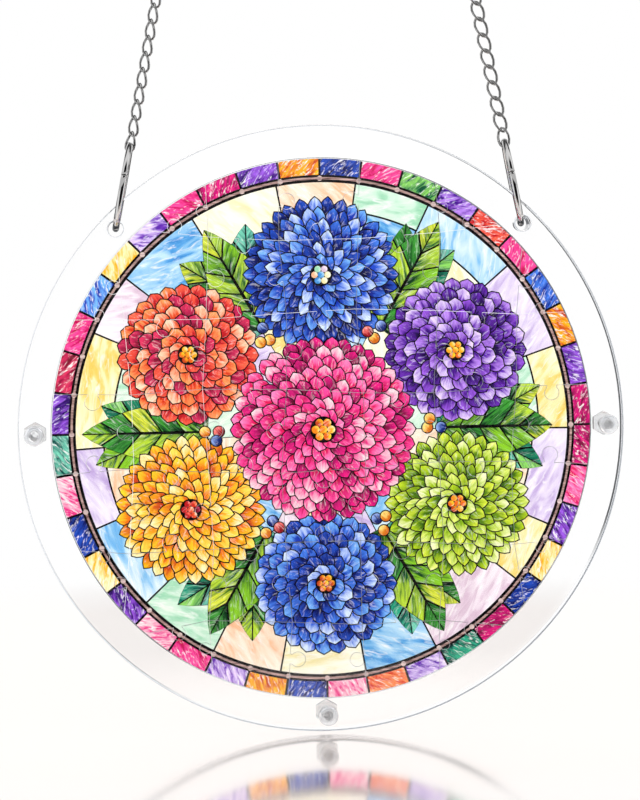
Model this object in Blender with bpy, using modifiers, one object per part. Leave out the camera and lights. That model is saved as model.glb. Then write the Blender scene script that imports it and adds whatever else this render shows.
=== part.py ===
"""Hanging suncatcher: a round jigsaw picture between clear plates, on two chains.

Metres, +Z up. The picture faces -Y. The origin is where a hook bears, at the
top of the inside of the hanging ring, so the whole object hangs below it.
"""
import math

import bmesh
import bpy
from mathutils import Matrix, Vector

# Plates and puzzle
PLATE_DIAMETER = 0.200
RIM_WIDTH = 0.0103
COVER_THICKNESS = 0.003
TRAY_FLOOR = 0.0027
PUZZLE_THICKNESS = 0.003
PLATE_SIDES = 60

# Clearances
FIT_GAP = 0.0003
RING_PLAY = 0.0005
PUZZLE_CUT = 0.0003
PUZZLE_EDGE_GAP = 0.0003

# Jigsaw cut: a knob is a share of the side that it stands on
PUZZLE_ROWS = 7
KNOB_NECK_RATIO = 0.133
KNOB_WIDTH_RATIO = 0.243
KNOB_DEPTH_RATIO = 0.196
CORNER_WANDER = 0.0014
WANDER_ACROSS_WAVES = (2.1, 1.7)
WANDER_UP_WAVES = (1.3, -2.3)
RIM_MARGIN_RATIO = 0.25
RIM_ARC_STEP = 0.009

# Screws and nuts
SCREW_ANGLES = {"left": 180.0, "right": 0.0, "bottom": 270.0}
SCREW_SHANK = 0.003
SCREW_HEAD = 0.0065
SCREW_HEAD_HEIGHT = 0.0021
HEAD_FLAT_RATIO = 0.62
HEAD_SHOULDER_RATIO = 0.55
SCREW_STICK_OUT = 0.0008
CROSS_LENGTH = 0.0036
CROSS_WIDTH = 0.0009
CROSS_DEPTH = 0.0012
NUT_ACROSS_FLATS = 0.007
NUT_HEIGHT = 0.0024
SCREW_SIDES = 10

# Rings
RING_HOLE = 0.005
RING_HOLE_ANGLE = 45.0
RING_HOLE_SIDES = 12
JUMP_RING = 0.0298
JUMP_RING_WIRE = 0.0021
JUMP_RING_SEAM = 0.0003
JUMP_RING_SEAM_ANGLE = 13.0
JUMP_RING_POINTS = 20
HANGING_RING = 0.022
HANGING_RING_WIRE = 0.002
HANGING_RING_SIDES = 18
RING_WIRE_SIDES = 6

# Chains
LINKS = 60
LINK_LENGTH = 0.0070
LINK_WIDTH = 0.0045
LINK_WIRE = 0.00085
LINK_TWIST = 90.0
LINK_EDGE_RATIO = 1.2
LINK_CORNER_RATIO = 1.27

# Worked out from the sizes above
PLATE_RADIUS = PLATE_DIAMETER / 2
POCKET_RADIUS = PLATE_RADIUS - RIM_WIDTH
PUZZLE_RADIUS = POCKET_RADIUS - PUZZLE_EDGE_GAP
FIXING_RADIUS = PLATE_RADIUS - RIM_WIDTH / 2
POCKET_DEPTH = PUZZLE_THICKNESS + FIT_GAP
TRAY_THICKNESS = TRAY_FLOOR + POCKET_DEPTH
STACK = COVER_THICKNESS + FIT_GAP + TRAY_THICKNESS
SCREW_HOLE = SCREW_SHANK + 2 * FIT_GAP
CELL = 2 * PUZZLE_RADIUS / PUZZLE_ROWS
RIM_MARGIN = CELL * RIM_MARGIN_RATIO

# Heights in the stack, from its middle towards the viewer
STACK_FRONT = STACK / 2
COVER_BACK = STACK_FRONT - COVER_THICKNESS
TRAY_FRONT = COVER_BACK - FIT_GAP
PUZZLE_BACK = TRAY_FRONT - PUZZLE_THICKNESS
POCKET_BOTTOM = TRAY_FRONT - POCKET_DEPTH
STACK_BACK = -STACK_FRONT

# Places along a chain's own line, measured down from the hanging ring's centre
HANGING_RING_RADIUS = (HANGING_RING - HANGING_RING_WIRE) / 2
JUMP_RING_RADIUS = (JUMP_RING - JUMP_RING_WIRE) / 2
LINK_REACH = LINK_LENGTH - LINK_WIRE
LINK_PITCH = LINK_REACH - LINK_WIRE
CHAIN_TOP = HANGING_RING_RADIUS - (HANGING_RING_WIRE + LINK_WIRE) / 2 - RING_PLAY
CHAIN_BOTTOM = CHAIN_TOP + (LINKS - 1) * LINK_PITCH + LINK_REACH
JUMP_RING_TOP = CHAIN_BOTTOM - (LINK_WIRE + JUMP_RING_WIRE) / 2 - RING_PLAY
JUMP_RING_CENTRE = JUMP_RING_TOP + JUMP_RING_RADIUS
JUMP_RING_INSIDE = JUMP_RING_RADIUS - JUMP_RING_WIRE / 2
PLATE_SEAT = math.sqrt(JUMP_RING_INSIDE ** 2 - (STACK / 2) ** 2) - RING_PLAY
HANGER_LENGTH = JUMP_RING_CENTRE + PLATE_SEAT + RING_HOLE / 2

# Where the disc hangs
HOLE_ACROSS = FIXING_RADIUS * math.cos(math.radians(RING_HOLE_ANGLE))
HOLE_UP = FIXING_RADIUS * math.sin(math.radians(RING_HOLE_ANGLE))
LEAN = math.asin(HOLE_ACROSS / HANGER_LENGTH)
HANGING_RING_CENTRE = -(HANGING_RING_RADIUS - HANGING_RING_WIRE / 2)
DISC_CENTRE = HANGING_RING_CENTRE - HANGER_LENGTH * math.cos(LEAN) - HOLE_UP


def clear_scene():
    """Remove every object that the file opened with."""
    for item in list(bpy.data.objects):
        bpy.data.objects.remove(item, do_unlink=True)


def new_collection(name):
    """A collection linked to the scene."""
    group = bpy.data.collections.new(name)
    bpy.context.scene.collection.children.link(group)
    return group


def make_material(name, colour, roughness, metallic, transmission=0.0):
    """A Principled material with plain values."""
    material = bpy.data.materials.new(name)
    material.use_nodes = True
    shader = material.node_tree.nodes["Principled BSDF"]
    shader.inputs["Base Color"].default_value = (*colour, 1.0)
    shader.inputs["Roughness"].default_value = roughness
    shader.inputs["Metallic"].default_value = metallic
    shader.inputs["Transmission Weight"].default_value = transmission
    return material


def file_object(item, group, parent=None, material=None):
    """Move an object to its collection and give it its parent and material."""
    for old in list(item.users_collection):
        old.objects.unlink(item)
    group.objects.link(item)
    item.parent = parent
    if material:
        item.data.materials.append(material)


def hide_cutter(item):
    """Mark an object as a cutter, not a piece."""
    item.hide_render = True
    item.display_type = "WIRE"


def add_empty(name, group, location, turn_x=0.0, turn_y=0.0):
    """An empty that other pieces are placed from."""
    empty = bpy.data.objects.new(name, None)
    empty.location = location
    empty.rotation_euler = (turn_x, turn_y, 0.0)
    group.objects.link(empty)
    return empty


def add_cylinder(name, radius, back, front, sides, at=(0.0, 0.0)):
    """A cylinder along local Z, from its back height to its front height."""
    bpy.ops.mesh.primitive_cylinder_add(
        vertices=sides, radius=radius, depth=front - back,
        location=(at[0], at[1], (back + front) / 2))
    cylinder = bpy.context.object
    cylinder.name = name
    return cylinder


def add_boolean(item, other, operation="DIFFERENCE"):
    """Cut or join one object with another, exactly."""
    boolean = item.modifiers.new(other.name, "BOOLEAN")
    boolean.operation = operation
    boolean.object = other


def shade_round(mesh):
    """Smooth shading that keeps the sharp edges sharp."""
    mesh.shade_smooth()
    mesh.set_sharp_from_angle(angle=math.radians(35))


def on_fixing_circle(angle):
    """A point of the rim's middle line, at an angle in degrees."""
    turn = math.radians(angle)
    return FIXING_RADIUS * math.cos(turn), FIXING_RADIUS * math.sin(turn)


def add_hole_cutters(group, parent):
    """Cutters for the screw holes and the two ring holes, through both plates."""
    holes = [(SCREW_HOLE, SCREW_SIDES, angle) for angle in SCREW_ANGLES.values()]
    holes += [(RING_HOLE, RING_HOLE_SIDES, angle) for angle in (RING_HOLE_ANGLE, 180.0 - RING_HOLE_ANGLE)]
    cutters = []
    for diameter, sides, angle in holes:
        cutter = add_cylinder(f"hole_{angle:.0f}", diameter / 2, -STACK, STACK, sides,
                              on_fixing_circle(angle))
        file_object(cutter, group, parent)
        hide_cutter(cutter)
        cutters.append(cutter)
    return cutters


def add_cover_plate(group, parent, material, holes):
    """The flat clear plate in front of the picture."""
    cover = add_cylinder("cover_plate", PLATE_RADIUS, COVER_BACK, STACK_FRONT, PLATE_SIDES)
    file_object(cover, group, parent, material)
    for hole in holes:
        add_boolean(cover, hole)
    shade_round(cover.data)


def add_backing_tray(group, cutters, parent, material, holes):
    """The clear plate behind, with a round pocket that the puzzle lies in."""
    tray = add_cylinder("backing_tray", PLATE_RADIUS, STACK_BACK, TRAY_FRONT, PLATE_SIDES)
    file_object(tray, group, parent, material)
    pocket = add_cylinder("pocket", POCKET_RADIUS, POCKET_BOTTOM, STACK, PLATE_SIDES)
    file_object(pocket, cutters, parent)
    hide_cutter(pocket)
    for cutter in [pocket, *holes]:
        add_boolean(tray, cutter)
    shade_round(tray.data)


def regular_corner(column, row):
    """A corner of the jigsaw's regular grid."""
    return Vector((column * CELL - PUZZLE_RADIUS, row * CELL - PUZZLE_RADIUS))


def near_rim(corner):
    """Whether a regular corner is too near the circle, or too far out, to be a corner of four pieces."""
    return corner.length > PUZZLE_RADIUS - RIM_MARGIN


def grid_corner(column, row):
    """A corner of the cut: a little off its regular place, or well outside the circle."""
    corner = regular_corner(column, row)
    if near_rim(corner):
        return corner.normalized() * (PUZZLE_RADIUS + RIM_MARGIN)
    across = WANDER_ACROSS_WAVES[0] * column + WANDER_ACROSS_WAVES[1] * row
    up = WANDER_UP_WAVES[0] * column + WANDER_UP_WAVES[1] * row
    wander = Vector((math.sin(across), math.cos(up)))
    return corner + CORNER_WANDER * wander


def rim_crossing(inner, outer):
    """Where the line from an inner corner to an outer one leaves the puzzle's circle."""
    run = outer - inner
    half = inner.dot(run)
    size = run.length_squared
    root = math.sqrt(half ** 2 - size * (inner.length_squared - PUZZLE_RADIUS ** 2))
    return inner + run * ((root - half) / size)


def clipped_side(start, end):
    """The part of a grid line inside the circle, or nothing where it lies outside."""
    start_in = start.length < PUZZLE_RADIUS
    end_in = end.length < PUZZLE_RADIUS
    if start_in and end_in:
        return start, end
    if start_in:
        return start, rim_crossing(start, end)
    if end_in:
        return rim_crossing(end, start), end
    return None


def knobbed_line(start, end, outward):
    """A cut from start to end with one dovetail knob, out to its left or its right."""
    along = end - start
    across = Vector((-along.y, along.x)) * outward
    middle = (start + end) / 2
    points = [start]
    for step, depth in ((-KNOB_NECK_RATIO / 2, 0.0), (-KNOB_WIDTH_RATIO / 2, KNOB_DEPTH_RATIO),
                        (KNOB_WIDTH_RATIO / 2, KNOB_DEPTH_RATIO), (KNOB_NECK_RATIO / 2, 0.0)):
        points.append(middle + along * step + across * depth)
    return points + [end]


def cell_side(column, row, upright):
    """One cut of the grid, always worked out in the same direction."""
    start = grid_corner(column, row)
    end = grid_corner(column, row + 1) if upright else grid_corner(column + 1, row)
    ends = clipped_side(start, end)
    if ends is None:
        return None
    outward = 1 if (column + row + upright) % 2 else -1
    return knobbed_line(*ends, outward)


def rim_arc(start, end):
    """Points between two places on the puzzle's circle, counter-clockwise."""
    first = math.atan2(start.y, start.x)
    sweep = (math.atan2(end.y, end.x) - first) % (2 * math.pi)
    count = max(2, round(sweep * PUZZLE_RADIUS / RIM_ARC_STEP))
    turns = [first + sweep * step / count for step in range(1, count)]
    return [PUZZLE_RADIUS * Vector((math.cos(turn), math.sin(turn))) for turn in turns]


def piece_outline(column, row):
    """The outline of one jigsaw piece on its cut lines, counter-clockwise."""
    sides = [cell_side(column, row, False), cell_side(column + 1, row, True),
             cell_side(column, row + 1, False), cell_side(column, row, True)]
    runs = [side[::-1] if index > 1 else side for index, side in enumerate(sides) if side]
    outline = []
    for index, run in enumerate(runs):
        following = runs[(index + 1) % len(runs)]
        outline += run
        if (run[-1] - following[0]).length > PUZZLE_CUT:
            outline += rim_arc(run[-1], following[0])
        else:
            outline.pop()
    return outline


def inset_outline(points, distance):
    """Move every side of a closed outline inwards by the same distance."""
    inset = []
    for index, point in enumerate(points):
        before = (point - points[index - 1]).normalized()
        after = (points[(index + 1) % len(points)] - point).normalized()
        left_before = Vector((-before.y, before.x))
        left_after = Vector((-after.y, after.x))
        inset.append(point + (left_before + left_after) * (distance / (1 + left_before.dot(left_after))))
    return inset


def add_puzzle_piece(name, outline, group, parent, material):
    """A flat piece cut to its outline."""
    curve = bpy.data.curves.new(name, "CURVE")
    curve.dimensions = "2D"
    curve.fill_mode = "BOTH"
    curve.extrude = PUZZLE_THICKNESS / 2
    spline = curve.splines.new("POLY")
    spline.points.add(len(outline) - 1)
    for slot, point in zip(spline.points, outline):
        slot.co = (point.x, point.y, 0.0, 1.0)
    spline.use_cyclic_u = True
    piece = bpy.data.objects.new(name, curve)
    piece.location = (0.0, 0.0, (TRAY_FRONT + PUZZLE_BACK) / 2)
    group.objects.link(piece)
    piece.parent = parent
    curve.materials.append(material)


def add_puzzle(group, parent, material):
    """Every piece of the jigsaw, named by its row and column from the top left."""
    for row in range(PUZZLE_ROWS):
        for column in range(PUZZLE_ROWS):
            corners = [regular_corner(column + right, row + up) for right in (0, 1) for up in (0, 1)]
            if all(near_rim(corner) for corner in corners):
                continue
            outline = inset_outline(piece_outline(column, row), PUZZLE_CUT / 2)
            name = f"puzzle_piece_row{PUZZLE_ROWS - row}_column{column + 1}"
            add_puzzle_piece(name, outline, group, parent, material)


def add_screw(side, group, cutters, parent, material):
    """A pan-head screw with a cross slot, through both plates and its nut."""
    x, y = on_fixing_circle(SCREW_ANGLES[side])
    seat = STACK_FRONT + FIT_GAP
    tip = STACK_BACK - FIT_GAP - NUT_HEIGHT - SCREW_STICK_OUT
    head = SCREW_HEAD / 2
    profile = [(0.0, seat + SCREW_HEAD_HEIGHT), (HEAD_FLAT_RATIO * head, seat + SCREW_HEAD_HEIGHT),
               (head, seat + HEAD_SHOULDER_RATIO * SCREW_HEAD_HEIGHT), (head, seat), (SCREW_SHANK / 2, seat),
               (SCREW_SHANK / 2, tip), (0.0, tip)]
    mesh = bpy.data.meshes.new(f"screw_{side}")
    mesh.from_pydata([(radius, 0.0, height) for radius, height in profile],
                     [(index, index + 1) for index in range(len(profile) - 1)], [])
    screw = bpy.data.objects.new(f"screw_{side}", mesh)
    screw.location = (x, y, 0.0)
    file_object(screw, group, parent, material)
    turn = screw.modifiers.new("turned", "SCREW")
    turn.steps = turn.render_steps = SCREW_SIDES
    turn.use_merge_vertices = True
    turn.merge_threshold = 0.00002
    for index, length in enumerate(((CROSS_LENGTH, CROSS_WIDTH), (CROSS_WIDTH, CROSS_LENGTH))):
        bpy.ops.mesh.primitive_cube_add(size=1.0)
        slot = bpy.context.object
        slot.name = f"slot_{side}_{index}"
        slot.scale = (*length, 2 * CROSS_DEPTH)
        slot.location = (x, y, seat + SCREW_HEAD_HEIGHT)
        file_object(slot, cutters, parent)
        hide_cutter(slot)
        add_boolean(screw, slot)


def add_nut(side, group, cutters, parent, material):
    """The hex nut on the back of the tray."""
    place = on_fixing_circle(SCREW_ANGLES[side])
    front = STACK_BACK - FIT_GAP
    nut = add_cylinder(f"nut_{side}", NUT_ACROSS_FLATS / math.sqrt(3), front - NUT_HEIGHT, front, 6, place)
    file_object(nut, group, parent, material)
    bore = add_cylinder(f"bore_{side}", SCREW_HOLE / 2, -2 * STACK, STACK, SCREW_SIDES, place)
    file_object(bore, cutters, parent)
    hide_cutter(bore)
    add_boolean(nut, bore)


def add_jump_ring(name, group, parent, material):
    """An open ring of wire through the plates' hole, its seam towards the viewer."""
    curve = bpy.data.curves.new(name, "CURVE")
    curve.dimensions = "3D"
    curve.bevel_depth = JUMP_RING_WIRE / 2
    curve.bevel_resolution = (RING_WIRE_SIDES - 4) // 2
    curve.use_fill_caps = True
    spline = curve.splines.new("POLY")
    spline.points.add(JUMP_RING_POINTS)
    seam = math.radians(180.0 - JUMP_RING_SEAM_ANGLE)
    half_gap = JUMP_RING_SEAM / 2 / JUMP_RING_RADIUS
    sweep = 2 * math.pi - 2 * half_gap
    for index, slot in enumerate(spline.points):
        turn = seam + half_gap + sweep * index / JUMP_RING_POINTS
        slot.co = (0.0, JUMP_RING_RADIUS * math.cos(turn), JUMP_RING_RADIUS * math.sin(turn), 1.0)
    ring = bpy.data.objects.new(name, curve)
    ring.location = (0.0, 0.0, -JUMP_RING_CENTRE)
    group.objects.link(ring)
    ring.parent = parent
    curve.materials.append(material)


def add_hanging_ring(group, parent, material):
    """The ring at the top, where the hook and both chains meet."""
    bpy.ops.mesh.primitive_torus_add(
        major_radius=HANGING_RING_RADIUS, minor_radius=HANGING_RING_WIRE / 2,
        major_segments=HANGING_RING_SIDES, minor_segments=RING_WIRE_SIDES,
        rotation=(math.pi / 2, 0.0, 0.0))
    ring = bpy.context.object
    ring.name = "hanging_ring"
    file_object(ring, group, parent, material)
    shade_round(ring.data)


def link_corners(middle, top_turn, bottom_turn):
    """The four corners of one link, twisted about the chain's line, with the way each faces."""
    reach = LINK_REACH / 2
    side = (LINK_WIDTH - LINK_WIRE) / 2 * LINK_CORNER_RATIO
    corners = []
    for across, up in ((-side, reach), (-side, -reach), (side, -reach), (side, reach)):
        spin = Matrix.Rotation(math.radians(top_turn if up > 0 else bottom_turn), 3, "Z")
        corners.append((spin @ Vector((across, 0.0, up)) - Vector((0.0, 0.0, middle)),
                        spin @ Vector((0.0, -1.0, 0.0))))
    return corners


def add_link(shape, middle, top_turn, bottom_turn):
    """Loft a three-sided wire round one link, with an edge inwards where the links bear."""
    corners = link_corners(middle, top_turn, bottom_turn)
    count = len(corners)
    radius = LINK_WIRE / 2 * LINK_EDGE_RATIO
    rows = []
    for index, (point, facing) in enumerate(corners):
        onward = (corners[(index + 1) % count][0] - point).normalized()
        along = (onward + (point - corners[index - 1][0]).normalized()).normalized()
        inward = facing.cross(along).normalized() / along.dot(onward)
        row = []
        for corner in range(3):
            turn = 2 * math.pi * corner / 3
            row.append(shape.verts.new(point + radius * (inward * math.cos(turn) + facing * math.sin(turn))))
        rows.append(row)
    for index, row in enumerate(rows):
        following = rows[(index + 1) % count]
        for corner in range(3):
            after = (corner + 1) % 3
            shape.faces.new((row[corner], row[after], following[after], following[corner]))


def links_object(name, picked):
    """One object with every other link of a chain."""
    shape = bmesh.new()
    for index in picked:
        top = 90.0 if index == 0 else LINK_TWIST / 2
        bottom = 90.0 + LINK_TWIST / 2 if index == 0 else -LINK_TWIST / 2
        if index == LINKS - 1:
            bottom = 0.0
        add_link(shape, CHAIN_TOP + LINK_REACH / 2 + index * LINK_PITCH, top, bottom)
    bmesh.ops.recalc_face_normals(shape, faces=shape.faces)
    mesh = bpy.data.meshes.new(name)
    shape.to_mesh(mesh)
    shape.free()
    return bpy.data.objects.new(name, mesh)


def add_chain(name, group, cutters, parent, material):
    """A curb chain, its links fused where they bear on each other."""
    chain = links_object(name, range(0, LINKS, 2))
    others = links_object(f"{name}_other_links", range(1, LINKS, 2))
    file_object(chain, group, parent, material)
    file_object(others, cutters, parent)
    hide_cutter(others)
    add_boolean(chain, others, "UNION")


def main():
    clear_scene()
    group = new_collection("suncatcher")
    cutters = new_collection("cutters")
    clear = make_material("clear acrylic", (0.96, 0.97, 0.98), 0.03, 0.0, 0.95)
    printed = make_material("printed acrylic", (0.55, 0.30, 0.55), 0.30, 0.0)
    steel = make_material("polished steel", (0.66, 0.66, 0.67), 0.16, 1.0)
    disc = add_empty("disc", group, (0.0, 0.0, DISC_CENTRE), turn_x=math.pi / 2)
    top = add_empty("top", group, (0.0, 0.0, HANGING_RING_CENTRE))
    holes = add_hole_cutters(cutters, disc)
    add_cover_plate(group, disc, clear, holes)
    add_backing_tray(group, cutters, disc, clear, holes)
    add_puzzle(group, disc, printed)
    for side in SCREW_ANGLES:
        add_screw(side, group, cutters, disc, clear)
        add_nut(side, group, cutters, disc, clear)
    add_hanging_ring(group, top, steel)
    for side, lean in (("left", LEAN), ("right", -LEAN)):
        hanger = add_empty(f"{side}_hanger", group, (0.0, 0.0, HANGING_RING_CENTRE), turn_y=lean)
        add_jump_ring(f"jump_ring_{side}", group, hanger, steel)
        add_chain(f"chain_{side}", group, cutters, hanger, steel)


main()
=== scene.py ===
"""The suncatcher's looks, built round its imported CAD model. Metres, +Z up, picture towards -Y."""
import random
from math import asin, atan2, cos, pi, radians, sin, sqrt

import bmesh
import bpy
from mathutils import Matrix, Vector
from mathutils.geometry import delaunay_2d_cdt


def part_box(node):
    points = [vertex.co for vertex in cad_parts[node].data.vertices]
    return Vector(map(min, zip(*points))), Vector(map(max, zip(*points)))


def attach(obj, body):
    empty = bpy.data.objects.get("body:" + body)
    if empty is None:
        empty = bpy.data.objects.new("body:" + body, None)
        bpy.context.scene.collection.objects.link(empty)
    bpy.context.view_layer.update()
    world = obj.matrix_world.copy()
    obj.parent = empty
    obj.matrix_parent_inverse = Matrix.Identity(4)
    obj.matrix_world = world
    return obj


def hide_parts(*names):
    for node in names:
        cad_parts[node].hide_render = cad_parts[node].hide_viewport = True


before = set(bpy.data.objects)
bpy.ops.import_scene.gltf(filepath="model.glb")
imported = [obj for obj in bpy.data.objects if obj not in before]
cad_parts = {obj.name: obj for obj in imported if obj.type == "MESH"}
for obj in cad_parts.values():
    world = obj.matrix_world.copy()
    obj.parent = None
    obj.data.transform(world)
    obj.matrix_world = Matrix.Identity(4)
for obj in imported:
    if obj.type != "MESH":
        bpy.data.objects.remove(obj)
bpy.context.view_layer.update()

MM = 0.001
TURN = 2 * pi
moved, rotated = Matrix.Translation, Matrix.Rotation

# Places read from the frame
COVER_LOW, COVER_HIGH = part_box("cover_plate")
TRAY_LOW, TRAY_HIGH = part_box("backing_tray")
PUZZLE_LOW, PUZZLE_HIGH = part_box("puzzle_piece_row4_column4")
PUZZLE_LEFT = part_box("puzzle_piece_row4_column1")[0]
NUT_LOW, NUT_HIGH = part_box("nut_bottom")
SCREW_LOW, SCREW_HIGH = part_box("screw_bottom")
HANGING_LOW, HANGING_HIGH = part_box("hanging_ring")
PLATE_RADIUS = (TRAY_HIGH.x - TRAY_LOW.x) / 2
PUZZLE_RADIUS = -PUZZLE_LEFT.x
DISC_CENTRE = (TRAY_HIGH.z + TRAY_LOW.z) / 2
HANGING_RING_CENTRE = (HANGING_HIGH.z + HANGING_LOW.z) / 2

# Clear plates
PLATE_STEPS = 200
RIM_ROUND = 0.35 * MM
FACE_SLOPE = 0.97
WALL_SLOPE = 0.05
POCKET_GAP = 0.3 * MM
HOLE_STEPS = 32
RING_HOLE = 5.0 * MM
SCREW_HOLE = 3.6 * MM
FIXING_RADIUS = PLATE_RADIUS - (PLATE_RADIUS - PUZZLE_RADIUS - POCKET_GAP) / 2
SCREW_ANGLES = {"left": 180.0, "right": 0.0, "bottom": 270.0}
RING_HOLE_ANGLES = (45.0, 135.0)

# Screws and nuts
SCREW_STEPS = 32
SHANK = 3.0 * MM
THREAD_PITCH = 0.5 * MM
THREAD_DEPTH = 0.15 * MM
HEAD = SCREW_HIGH.x - SCREW_LOW.x
HEAD_EDGE = 0.15 * MM
HEAD_SHADED_SIDE_SLOPE = 0.75
CROWN_DEGREES = (18, 36, 54, 68, 80, 90)
CROWN_FOOT = 0.42
CROWN_POWERS = (0.8, 0.7)
CROSS_LENGTH = 3.6 * MM
CROSS_WIDTH = 0.9 * MM
CROSS_DEPTH = 1.2 * MM
CROSS_TAPER = 0.55
NUT_STEPS = 48
NUT_CHAMFER = 0.45 * MM
NUT_FACE_RATIO = 0.96
NUT_CORNER_RATIO = 1.02
NUT_SHADED_SIDE_SLOPE = 0.5

# Rings and chains
RING_STEPS = 96
WIRE_STEPS = 16
JUMP_RING_WIRE = 2.1 * MM
JUMP_RING_RADIUS = 13.85 * MM
JUMP_RING_SEAM = 0.3 * MM
JUMP_RING_SEAM_ANGLE = 13.0
RING_WIRE_IN_ROUNDS = 14
JUMP_RING_TURNS = {"left": 0.0, "right": -8.0}
HANGING_RING_WIRE = HANGING_HIGH.y - HANGING_LOW.y
HANGING_RING_RADIUS = (HANGING_HIGH.z - HANGING_LOW.z - HANGING_RING_WIRE) / 2
LINKS = 60
LINK_LENGTH = 7.0 * MM
LINK_WIDTH = 4.5 * MM
LINK_WIRE = 0.85 * MM
LINK_TOP_TURNS = {"left": -88.0, "right": -45.0}
LINK_TILT = 0.18
LINK_TWIST_RATE = 0.65
LINK_SLACK = 0.3 * MM
LINK_POINTS = 14
LINK_BEVEL = 1
RING_PLAY = 0.5 * MM
LINK_REACH = LINK_LENGTH - LINK_WIRE
LINK_PITCH = LINK_REACH - LINK_WIRE
CHAIN_TOP = HANGING_RING_RADIUS - (HANGING_RING_WIRE + LINK_WIRE) / 2 - RING_PLAY
CHAIN_BOTTOM = CHAIN_TOP + (LINKS - 1) * LINK_PITCH + LINK_REACH
JUMP_RING_CENTRE = CHAIN_BOTTOM - (LINK_WIRE + JUMP_RING_WIRE) / 2 - RING_PLAY + JUMP_RING_RADIUS
STACK = TRAY_HIGH.y - COVER_LOW.y
PLATE_SEAT = sqrt((JUMP_RING_RADIUS - JUMP_RING_WIRE / 2) ** 2 - (STACK / 2) ** 2) - RING_PLAY
HANGER_LENGTH = JUMP_RING_CENTRE + PLATE_SEAT + RING_HOLE / 2
HOLE_ACROSS = FIXING_RADIUS * cos(radians(RING_HOLE_ANGLES[0]))
LEAN = asin(HOLE_ACROSS / HANGER_LENGTH)

# Jigsaw cut, the same grid as the solids' with rounder knobs
PUZZLE_ROWS = 7
CELL = 2 * PUZZLE_RADIUS / PUZZLE_ROWS
RIM_MARGIN = CELL * 0.25
CORNER_WANDER = 1.4 * MM
WANDER_WAVES = ((2.1, 1.7), (1.3, -2.3))
KNOB_NECK_RATIO = 0.133
KNOB_ROUND_RATIO = 0.104
KNOB_STEPS = 12
RIM_ARC_STEP = 2.5 * MM
KERF = 0.15 * MM

# Picture: its rings, from the edge inwards, and the sizes of its glasses
BORDER_OUTSIDE = PUZZLE_RADIUS - 0.12 * MM
BORDER_INSIDE = PUZZLE_RADIUS - 5.4 * MM
CAME_OUTSIDE = BORDER_INSIDE - 0.75 * MM
CAME_INSIDE = CAME_OUTSIDE - 0.75 * MM
WINDOW = CAME_INSIDE - 0.65 * MM
LEAD = 0.37 * MM
TILES = 40
TILE_SLANTS = (0.5, 1.1)
TILE_FADE = 6 * MM
CIRCLE_STEP = 1.6 * MM
SOLDER = 0.85 * MM
PANES = 18
PANE_WANDER = 0.22
PANE_INSIDE = 12 * MM
PANE_SPLITS = (9.0, 22.0)
PANE_SLANTS = (0.6, 2.2)
BERRY = 2.1 * MM
BERRY_STEP = 2.3
BERRY_RING = 33.0 * MM
LEAF_ROOT = 38 * MM
LEAF_LENGTHS = (38.0, 42.0)
LEAF_WIDTHS = (18.0, 22.0)
LEAF_CUTS = (0.0, 0.19, 0.36, 0.53, 0.7, 1.0)
LEAF_SLANT = 0.15
LEAF_GRAINS = (0.45, 0.75)
BLOOM_RING = 51.0 * MM
BLOOM_CORE = 0.13
BLOOM_CROWDING = 1.08
PETAL_STEP = 4.6 * MM
PETAL_TUCK = 1.2 * MM
PETAL_REACH = 1.9
PETAL_OVERLAP = 1.12
SEED = 7


def linear(colour):
    """A colour from 0-255 screen values to the shader's linear ones."""
    shares = [value / 255 for value in colour]
    return tuple(v / 12.92 if v <= 0.04045 else ((v + 0.055) / 1.055) ** 2.4 for v in shares)


# Glass colours: a deep one at the base or in the streaks, and a pale one
DARK_LEAD = ((26, 20, 24), (26, 20, 24))
CAME = ((104, 66, 64), (214, 180, 172))
SOLDER_DOT = ((150, 120, 116), (240, 220, 214))
PALETTES = {
    "magenta": [((218, 0, 112), (255, 76, 164)), ((236, 0, 122), (255, 140, 200)),
                ((160, 0, 90), (236, 0, 130)), ((240, 56, 154), (255, 226, 228))],
    "blue": [((6, 44, 164), (66, 130, 236)), ((12, 76, 200), (120, 184, 248)),
             ((4, 22, 114), (22, 78, 200)), ((44, 108, 222), (222, 238, 255))],
    "violet": [((74, 6, 144), (158, 86, 226)), ((100, 24, 172), (192, 140, 242)),
               ((44, 2, 98), (104, 34, 180)), ((130, 60, 200), (238, 218, 252))],
    "gold": [((242, 142, 0), (255, 220, 30)), ((252, 176, 0), (255, 236, 96)),
             ((222, 104, 0), (255, 190, 0)), ((254, 200, 20), (255, 246, 196))],
    "coral": [((210, 14, 36), (255, 104, 70)), ((230, 62, 10), (255, 164, 92)),
              ((164, 2, 66), (228, 44, 96)), ((238, 100, 40), (255, 224, 188))],
    "lime": [((128, 168, 0), (226, 240, 60)), ((160, 196, 4), (240, 248, 130)),
             ((92, 140, 0), (196, 224, 20)), ((186, 212, 30), (250, 252, 200))],
    "leaf": [((0, 84, 36), (140, 206, 30)), ((0, 106, 52), (190, 222, 50)),
             ((0, 56, 30), (60, 160, 50)), ((24, 116, 20), (226, 232, 60))],
    "teal": [((0, 74, 70), (40, 180, 140)), ((0, 96, 90), (120, 214, 186)),
             ((0, 50, 52), (20, 146, 104)), ((0, 112, 74), (150, 224, 100))],
    "pane": [((246, 226, 140), (255, 248, 214)), ((214, 196, 232), (244, 236, 250)),
             ((150, 206, 242), (226, 242, 252)), ((190, 232, 206), (240, 250, 236)),
             ((250, 210, 176), (255, 242, 224)), ((246, 238, 196), (255, 253, 238)),
             ((96, 176, 230), (196, 230, 250)), ((232, 212, 226), (252, 244, 250))],
    "berry": [((178, 14, 40), (255, 130, 120)), ((30, 60, 150), (150, 180, 240)),
              ((230, 150, 20), (255, 230, 130))],
}
TILE_GLASSES = "magenta violet gold blue magenta coral violet teal magenta blue gold violet magenta".split()


# Outlines in the disc's own plane, X to the right and Y up, seen by the viewer


MIDDLE = Vector((0.0, 0.0))


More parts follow.
